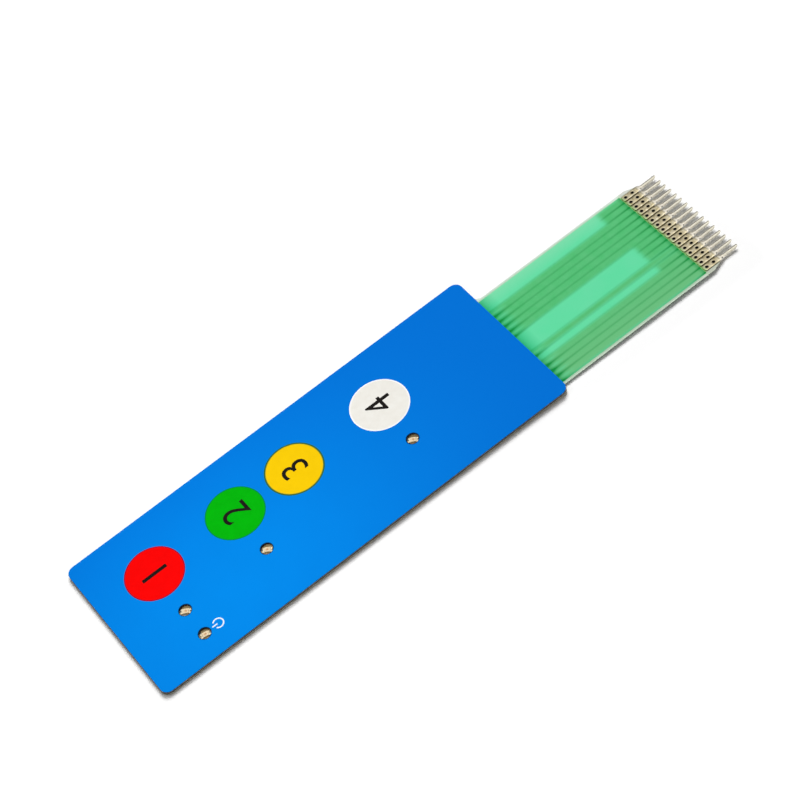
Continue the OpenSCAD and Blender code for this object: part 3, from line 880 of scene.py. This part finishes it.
# %% Sixteen contacts
# No two pins stand quite alike: each leans by up to a tenth of a millimetre
SWAY_Y, SWAY_Z = 0.09, 0.02
lean = np.clip((strip_points[:, 0] - PLATE_END) / (PIN_END - PLATE_END), 0, 1) ** 2
for i, y in enumerate(row_y, start=1):
    sway = np.array([0, SWAY_Y * math.sin(2.3 * i), SWAY_Z * math.sin(1.7 * i + 1)])
    leaning = strip_points + lean[:, None] * sway
    spot = np.array([strip_x, y, 0.0])
    parts = [(leaning + spot, strip_faces)] + [(points + spot, faces) for points, faces in claws]
    mesh = make_mesh(f"crimped_contact_{i}", parts, sharp=40)
    place(f"crimped_contact_{i}", mesh, brass_finish, [f"contact_{i}"])
print("contacts made:", len(row_y))


# %% [markdown]
# ## The green coat on the tail
#
# The traces on the tail lie under a screen-printed green insulating coat. Where it covers bare
# film it looks pale mint, over a silver trace it is a fuller green, and in the narrow gaps
# between traces it is drawn in dark lines, partly ink pooled there and partly painted shade
# beside each raised trace. The coat also rises over each trace. One height field gives the
# relief, and three attributes carry where the traces, the dark lines and the deeper green beside
# the pad are, so the finish can follow them exactly.

# %% Relief of the coat
coat_low, coat_high = node_box("tail_cover")
film_top = coat_low[2]
COAT_T, TRACE_T, TRACE_HALF, STUB_START, PITCH = 0.05, 0.03, 0.95, 118.2, 2.54
# Thickness at the rim, the rim's width, how far the coat's back sinks in, and the rows' stretches
RIM_T, COAT_RIM, SINK, ROOT_L, STUBS_X, LAST_L = 0.012, 0.25, 0.006, 7.5, (116, 121), 0.3
wired = np.isin(np.arange(1, 17), [3, 4, 5, 6, 7, 11, 13, 14, 15, 16])
# Traces with no wired neighbour on the -Y side, and on neither side
last = wired & ~np.append(wired[1:], False)
alone = last & ~np.append(False, wired[:-1])
rows_x = stretches(
    [coat_low[0], coat_low[0] + ROOT_L, *STUBS_X, coat_high[0] - LAST_L, coat_high[0]],
    [15, 11, 20, 5, 4])
COL_STEP = 0.1
cols_y = np.arange(coat_low[1], coat_high[1] + COL_STEP / 2, COL_STEP)
coat_x, coat_y = np.meshgrid(rows_x, cols_y, indexing="ij")


def over_traces(half, lead, end_blur, side_blur):
    """1 over a trace and 0 beside it, with soft sides, and soft ends on the unused ones."""
    sides = smooth((half + side_blur / 2 - np.abs(coat_y[..., None] - row_y)) / side_blur)
    ends = np.where(wired, 1.0, smooth((coat_x[..., None] - STUB_START + lead) / end_blur))
    return sides * ends, ends


raised = over_traces(TRACE_HALF, lead=0.0, end_blur=0.6, side_blur=0.5)[0]
painted_half = np.where(alone, 0.8, 1.0) * PITCH / 2
covered, ends = over_traces(painted_half, lead=1.4, end_blur=2.8, side_blur=1.9)
to_edge = np.minimum(coat_y - coat_low[1], coat_high[1] - coat_y)
to_edge = np.minimum(to_edge, coat_high[0] - coat_x)
swell = smooth(to_edge / COAT_RIM + 0.1)
coat_top = film_top + RIM_T + (COAT_T - RIM_T + TRACE_T * raised.max(axis=-1)) * swell
coat_mesh = make_mesh("tail_coat", [slab(coat_x, coat_y, coat_top, 0 * coat_top + film_top + SINK)])
print("coat:", len(coat_mesh.polygons), "faces")

# %% Dark lines on the coat: pooled ink and painted shade
# They lie in the gap on the -Y side of each trace, faintly on its +Y side, and all along the
# overlay's edge and the contacts. They are darkest at both ends of the tail. They are partly ink
# pooled in the gaps and partly painted shade: the shadow on the -Y side of each raised trace and
# the shadow of the overlay's edge.
from_pad, to_plates = coat_x - coat_low[0], coat_high[0] - coat_x
# How far the dark ends reach along X, the widths of the lines, the place across the tail from
# which the -Y side differs, and the width of that change, in mm
PAD_REACH, PLATES_REACH, LINE_W, LINE_SPREAD = 3.2, 4.5, 0.36, 0.2
PAD_LINE_W, PLATES_LINE_W, SIDE_Y, PAD_SIDE_W = 1.6, 0.9, -8.0, 10.0
# Strengths: between two traces, past the last of a group, at the contacts, and on the +Y side
BETWEEN, PAST_LAST, AT_TIP, FAINT, FAINT_ROOT = 0.3, 0.1, 0.75, 0.12, 0.2
# Strengths along the overlay's edge, with what the -Y side adds, and along the contacts
AT_PAD, AT_PAD_SIDE, AT_PLATES = 0.25, 0.3, 0.62
root = np.exp(-from_pad / PAD_REACH)[..., None]
tip = np.exp(-to_plates / PLATES_REACH)[..., None]
below = coat_y[..., None] - (row_y - PITCH / 2)
above = coat_y[..., None] - (row_y + PITCH / 2)
line_w = LINE_W + LINE_SPREAD * root
full = np.where(last, PAST_LAST, BETWEEN) + root + AT_TIP * tip
faint = FAINT + FAINT_ROOT * root
dark_lines = ends * full * np.exp(-((below / line_w) ** 2))
dark_lines = dark_lines + ends * faint * np.exp(-((above / LINE_W) ** 2))
at_pad = AT_PAD + AT_PAD_SIDE * smooth((SIDE_Y - coat_y) / PAD_SIDE_W)
dark_share = dark_lines.max(axis=-1) + at_pad * np.exp(-((from_pad / PAD_LINE_W) ** 2))
dark_share = dark_share + AT_PLATES * np.exp(-((to_plates / PLATES_LINE_W) ** 2))
print("dark lines: mean share", round(float(dark_share.mean()), 3))

# %% Streaks and deeper green on the coat
# Near the pad a pale streak runs along the top of each trace. Beside the pad the coat is a deeper
# green, least so on the streaks and at the -Y edge; that deeper green is partly coat pooled
# against the pad and partly painted shade of the pad's edge. Widths and lengths are in mm.
STREAK_W, THIN_AT, THIN_W, DEEP_L, DEEP_SIDE_W = 0.45, 2.4, 2.6, 5.0, 6.0
# Strengths: what a streak takes from the band and from the deeper green, the deeper green, and
# what the -Y side takes from it
STREAK_BAND, STREAK_DEEP, DEEP, DEEP_SIDE = 0.4, 0.6, 0.8, 0.35
streak = (np.exp(-(((coat_y[..., None] - row_y) / STREAK_W) ** 2)) * wired).max(axis=-1)
thin = streak * np.exp(-(((from_pad - THIN_AT) / THIN_W) ** 2))
over = np.clip(covered.sum(axis=-1), 0, 1) * (1 - STREAK_BAND * thin)
deep = np.clip(1 - from_pad / DEEP_L, 0, 1) * (1 - STREAK_DEEP * streak)
deep = deep * (DEEP - DEEP_SIDE * smooth((SIDE_Y - coat_y) / DEEP_SIDE_W))
prints = {"over_trace": over, "ink_pool_and_shade": np.clip(dark_share, 0, 1), "deep_green": deep}
for label, values in prints.items():
    paint(coat_mesh, label, both_faces(values))
print("painted on the coat:", *prints)

# %% Green insulating ink
# UV-cured coat, printed through a mesh: a smooth, slightly wavy gloss over a soft stain.
coat_finish, tree, shader, coordinates = start_finish(
    "screen_printed_green_insulating_ink", Roughness=0.4, IOR=1.5, Specular_IOR_Level=0.1)
mint = mottled(tree, coordinates, 9.0, "#61dea3", "#69dea7")
band = mottled(tree, coordinates, 3.0, "#52be74", "#5bc17b")
# Towards the edges the bands turn olive on the -Y side, and on the +Y side the mint pales in a
# painted sheen along the edge
side = add(tree, "SeparateXYZ", None, {"Vector": coordinates}).outputs["Y"]
band = graded(tree, band, side, SIDE_Y, -23.0, "#6cc080")
mint = graded(tree, mint, side, 13.0, 18.0, "#82dfae")
trace_share = add(tree, "Attribute", {"attribute_name": "over_trace"}).outputs["Fac"]
green = add(tree, "Mix", RGBA, {0: trace_share, MIX_A: mint, MIX_B: band})
# The deeper green beside the pad and the dark lines are both partly painted shade
for label, tone in (("deep_green", "#12b87a"), ("ink_pool_and_shade", "#0a8a3c")):
    share = add(tree, "Attribute", {"attribute_name": label}).outputs["Fac"]
    green = add(tree, "Mix", RGBA, {0: share, MIX_A: green.outputs[MIX_OUT], MIX_B: colour(tone)})
tree.links.new(green.outputs[MIX_OUT], shader.inputs["Base Color"])
toothed(tree, shader, coordinates, size=0.7, depth=0.01)
place("tail_coat", coat_mesh, coat_finish, ["tail_cover"])
print("coat placed")


# %% [markdown]
# ## The chip LEDs
#
# Each window shows a chip LED: a small laminate base with plated, notched ends and a moulded
# epoxy lens between them. The base is its outline carried up through a few levels, and the lens
# is a rounded block, whose height falls off at its sides like a flattened superellipse.

# %% Finishes of the LEDs
# Tan laminate with a slight grain
laminate_finish = plain_finish(
    "glass_epoxy_laminate", 0.3, "#e2cfa6", "#d6be90", tooth=(0.12, 0.004),
    Roughness=0.55, IOR=1.5, Specular_IOR_Level=0.4)

# Pale gold ends with a soft, uneven shine
plating_finish = plain_finish(
    "soldered_gold_plating", 0.35, "#f4e8cc", "#e2cda2", gloss=(0.3, 0.3, 0.5),
    Metallic=0.55, Roughness=0.4)

# Cream epoxy, with the brown of the die in its middle
epoxy_finish, tree, shader, coordinates = start_finish(
    "moulded_diffusing_epoxy", Roughness=0.28, IOR=1.55, Specular_IOR_Level=0.3)
epoxy = mottled(tree, coordinates, 0.6, "#eedcbc", "#e2cda6")
die_share = add(tree, "Attribute", {"attribute_name": "over_die"}).outputs["Fac"]
epoxy = add(tree, "Mix", RGBA, {0: die_share, MIX_A: epoxy, MIX_B: colour("#b8804c")})
tree.links.new(epoxy.outputs[MIX_OUT], shader.inputs["Base Color"])
toothed(tree, shader, coordinates, size=0.25, depth=0.003)
print("laminate, plating and epoxy are ready")

# %% Base of an LED
LED_L, LED_W, LED_END, NOTCH_R = 3.0, 1.6, 0.6, 0.3
# The base's size and depth at its upper levels
SHRINK, DEPTHS = (1.0, 0.985, 0.96), (0.04, 0.01, 0.0)
# Half of the outline, from one long side round a notched end, and the other half turned over
notch = np.radians(np.linspace(90, 270, 9))
half_outline = np.concatenate([
    [[LED_END - LED_L / 2, LED_W / 2], [-LED_L / 2, LED_W / 2]],
    np.column_stack([-LED_L / 2 - NOTCH_R * np.cos(notch), NOTCH_R * np.sin(notch)]),
    [[-LED_L / 2, -LED_W / 2], [LED_END - LED_L / 2, -LED_W / 2]]])
led_outline = np.concatenate([half_outline, -half_outline])


def led_base(low, high):
    """The outline carried up from one height to another, and drawn in a little near its top."""
    shrink = np.array([1.0, *SHRINK])
    level = np.array([low, *(high - depth for depth in DEPTHS)])
    count = len(led_outline)
    rings = np.concatenate([
        np.column_stack([led_outline * s, np.full(count, z)]) for s, z in zip(shrink, level)])
    rim = np.arange(count)[None, :]
    return rings, [quads(len(level), count, wrap=True), rim[:, ::-1], rim + (len(level) - 1) * count]


print("LED base:", LED_L, "x", LED_W, "mm")

# %% Lens of an LED
LENS_FOOT = 0.002
u = np.sin(np.linspace(-np.pi / 2, np.pi / 2, 21))
lens_u, lens_v = np.meshgrid(u, u, indexing="ij")
# The die and its cup show through the middle of the epoxy
die = np.exp(-(((lens_u - 0.05) / 0.5) ** 2 + (lens_v / 0.42) ** 2))


def led_lens(low, high):
    """A rounded block, as high as the cube root of (1 - u^8) * (1 - v^10), u and v from -1 to 1."""
    swell = ((1 - lens_u**8) * (1 - lens_v**10)) ** (1 / 3)
    rise = low + LENS_FOOT + (high - low - LENS_FOOT) * swell
    return slab(lens_u * (LED_L / 2 - LED_END), lens_v * LED_W / 2, rise, 0 * rise + low)


print("LED lens:", lens_u.size, "points on its top")

# %% Plated ends of an LED
# How far the plating goes under the lens and past the end, its crown, the share of its half length
# in which that rises, its thickness and its foot
LAP, PROUD, PLATE_CROWN, PLATE_RISE, PLATE_T, PLATE_FOOT = 0.05, 0.012, 0.02, 0.3, 0.004, 0.01


def plated_end(low, high, end):
    """A terminal round one notched end, from under the lens out to the notch's arc, r^2 = x^2 + y^2."""
    across = LED_W * np.linspace(-0.5, 0.5, 17)
    reach_x, reach_y = np.meshgrid(np.linspace(0, 1, 7), across, indexing="ij")
    notch_x = np.sqrt(np.clip(NOTCH_R**2 - reach_y**2, 0, None))
    outer = LED_L / 2 - notch_x + PROUD
    inner = LED_L / 2 - LED_END + LAP
    lift = high + PLATE_T + PLATE_CROWN * smooth((1 - np.abs(2 * reach_x - 1)) / PLATE_RISE)
    return slab(end * (inner + (outer - inner) * reach_x), reach_y, lift, 0 * lift + low + PLATE_FOOT)


print("plating:", PLATE_T, "mm thick")


# %% Four LEDs in their windows
def turned(points, spot, turn):
    """Points turned about the vertical and moved to a spot."""
    x = spot[0] + points[:, 0] * math.cos(turn) - points[:, 1] * math.sin(turn)
    y = spot[1] + points[:, 0] * math.sin(turn) + points[:, 1] * math.cos(turn)
    return np.column_stack([x, y, points[:, 2]])


LED_TURNS = np.radians([-35, -35, -35, -10])
for k, (window, turn) in enumerate(zip(WINDOWS, LED_TURNS), start=1):
    low, high = node_box(f"led_base_{k}")[:, 2]
    lens_z = node_box(f"led_lens_{k}")[:, 2]
    # Each piece's name, patch, finish, slot and the node that it stands for
    pieces = [
        (f"led_body_{k}", led_base(low, high), laminate_finish, "led_base", [f"led_base_{k}"]),
        (f"led_dome_{k}", led_lens(*lens_z), epoxy_finish, "led_lens", [f"led_lens_{k}"]),
        (f"led_terminal_{k}_a", plated_end(low, high, -1), plating_finish, "led_base", ()),
        (f"led_terminal_{k}_b", plated_end(low, high, 1), plating_finish, "led_base", ())]
    for name, (points, faces), finish, slot, stands_for in pieces:
        mesh = make_mesh(name, [(turned(points, window, turn), faces)])
        if finish == epoxy_finish:
            paint(mesh, "over_die", both_faces(die))
        place(name, mesh, finish, stands_for)
print("LEDs made:", len(WINDOWS))


# %% [markdown]
# ## The inner layers
#
# The other layers show at the pad's cut edge, on its back and inside the windows. Their CAD
# shapes are right as they are, so they only need their finishes: a papery liner, dull tape, a
# dark spacer, clear film, silver ink and spring steel.

# %% Paper, tape, glue and spacer
# Siliconised kraft paper: fibres in a warm tan, dull and slightly uneven
liner_finish, tree, shader, coordinates = start_finish(
    "siliconised_liner_paper", Roughness=0.75, Specular_IOR_Level=0.3)
fibre = add(tree, "Mapping", None, {"Vector": coordinates, "Scale": (0.35, 1.0, 1.0)})
paper = mottled(tree, fibre.outputs["Vector"], 0.8, "#d8c5a0", "#cbb58c")
tree.links.new(paper, shader.inputs["Base Color"])
toothed(tree, shader, fibre.outputs["Vector"], size=0.4, depth=0.01)
dress(liner_finish, "release_liner")

# Double-coated tape with a dark, dull carrier, its darkness partly painted shade for the wells'
# floors and the foot of the cut edge
tape_finish = plain_finish(
    "dark_double_coated_tape", 0.7, "#5b4a3a", "#4a3c30", tooth=(0.3, 0.01),
    Roughness=0.6, Specular_IOR_Level=0.3)
dress(tape_finish, "rear_adhesive")

# Acrylic transfer adhesive, milky with a soft shine
glue_finish = plain_finish(
    "acrylic_transfer_adhesive", 0.6, "#d5cdb8", "#c4baa2", tooth=(0.25, 0.01),
    Roughness=0.45, Specular_IOR_Level=0.4)
dress(glue_finish, "circuit_adhesive", "overlay_adhesive")

# Dark polyester spacer, its darkness partly painted shade: its knife-cut edge is a dark line
# under the overlay, and the wells in the windows look dark
spacer_finish = plain_finish(
    "dark_spacer_with_painted_shade", 1.5, "#3a3833", "#4a463e", tooth=(0.2, 0.012),
    Roughness=0.55, IOR=1.57, Specular_IOR_Level=0.3)
dress(spacer_finish, "spacer")
print("pad's layers dressed")

# %% Where the film is tinted
# Heat-stabilised polyester: clear with a faint warm haze, and brown between the contacts, partly
# a tint and partly painted shade between the plates
film_finish, tree, shader, coordinates = start_finish(
    "clear_polyester_film", Roughness=0.25, IOR=1.57, Specular_IOR_Level=0.2, Alpha=0.9)
where = add(tree, "SeparateXYZ", None, {"Vector": coordinates})
along, side = where.outputs["X"], where.outputs["Y"]
from_middle = add(tree, "Math", {"operation": "SUBTRACT"}, {0: side, 1: row_y.mean() * MM})
from_middle = add(tree, "Math", {"operation": "ABSOLUTE"}, {0: from_middle.outputs["Value"]})
from_middle = from_middle.outputs["Value"]
# Shares of the tints: a coordinate, the two places in mm between which the share changes, and
# its values there
TINT_SHARES = {
    "crimped": (along, 126.4, 127.1, 0.0, 1.0),
    "in_row": (from_middle, 19.9, 20.4, 1.0, 0.25),
    "margin": (from_middle, 20.5, 21.4, 0.9, 0.25),
    "fading": (along, 122.0, 129.0, 1.0, 0.1),
    "on_tail": (along, 71.5, 72.5, 0.0, 1.0),
}
tints = {
    label: add(tree, "MapRange", None, dict(zip(RANGE, (
        value, start * MM, end * MM, first, last)))).outputs["Result"]
    for label, (value, start, end, first, last) in TINT_SHARES.items()}
print("tints of the film:", *tints)

# %% Clear film
# Darkened in the contacts' row, partly a tint and partly painted shade between the plates, and
# green on the tail's bare margins, fading towards the contacts
tint_and_shade_share, green_tint = tints["crimped"], tints["margin"]
tint_and_shade_share = add(tree, "Math", {"operation": "MULTIPLY"}, {
    0: tint_and_shade_share, 1: tints["in_row"]}).outputs["Value"]
for label in ("fading", "on_tail"):
    green_tint = add(tree, "Math", {"operation": "MULTIPLY"}, {
        0: green_tint, 1: tints[label]}).outputs["Value"]
# Under the pad its face is tan, which shows in the windows
face = add(tree, "SeparateXYZ", None, {"Vector": add(tree, "NewGeometry").outputs["Normal"]})
tanned = add(tree, "Math", {"operation": "SUBTRACT", "use_clamp": True}, {
    0: face.outputs["Z"], 1: tints["on_tail"]}).outputs["Value"]
# Its colour there is green beside the coat and brown between the plates, where the brown is
# partly painted shade
stain_and_painted_light = graded(tree, colour("#83bd6c"), along, 127.3, 127.9, "#7a7048")
# The film is clearest along its far side
haze = mottled(tree, coordinates, 4.0, "#e6ece0", "#dde4d5")
haze = graded(tree, haze, side, 15.5, 17.5, "#fafcf9", 0.0, 0.8)
for share, tone in ((green_tint, colour("#93cba0")), (tanned, colour("#dfc795")), (tint_and_shade_share, stain_and_painted_light)):
    haze = add(tree, "Mix", RGBA, {0: share, MIX_A: haze, MIX_B: tone}).outputs[MIX_OUT]
tree.links.new(haze, shader.inputs["Base Color"])
toothed(tree, shader, coordinates, size=0.5, depth=0.002)
dress(film_finish, "circuit_film")
print("film dressed")

# %% Silver ink and spring steel
# Silver-loaded ink: grey, grainy, with a dull metal shine. Under the contacts it is
# overprinted with black carbon ink, which shows as dark dots in their holes.
silver_finish, tree, shader, coordinates = start_finish(
    "screen_printed_silver_ink", Roughness=0.45, Specular_IOR_Level=0.1)
silver = mottled(tree, coordinates, 0.3, "#c3c5c0", "#aeb0ab")
along = add(tree, "SeparateXYZ", None, {"Vector": coordinates}).outputs["X"]
# The bit that shows between the coat and the plates is tinted green, with no metal shine
TINT_X, CARBON_X, SHINE = (126.9, 127.1), (127.7, 127.8), 0.7
silver = graded(tree, silver, along, *TINT_X, "#86b96e")
silver = graded(tree, silver, along, *CARBON_X, "#120f0c")
tree.links.new(silver, shader.inputs["Base Color"])
bare = add(tree, "MapRange", None, dict(zip(RANGE, (along, *np.multiply(TINT_X, MM), SHINE, 0.0))))
tree.links.new(bare.outputs["Result"], shader.inputs["Metallic"])
toothed(tree, shader, coordinates, size=0.2, depth=0.006)
dress(silver_finish, "silver_traces")

# Stamped spring steel, bright with an uneven gloss
steel_finish = plain_finish(
    "stamped_spring_steel", 1.5, "#c9ccd0", "#bbbfc4", gloss=(0.5, 0.2, 0.35),
    Metallic=1.0, Roughness=0.25)
dress(steel_finish, *[f"snap_dome_{k}" for k in range(1, 5)])
print("traces and snap domes dressed")
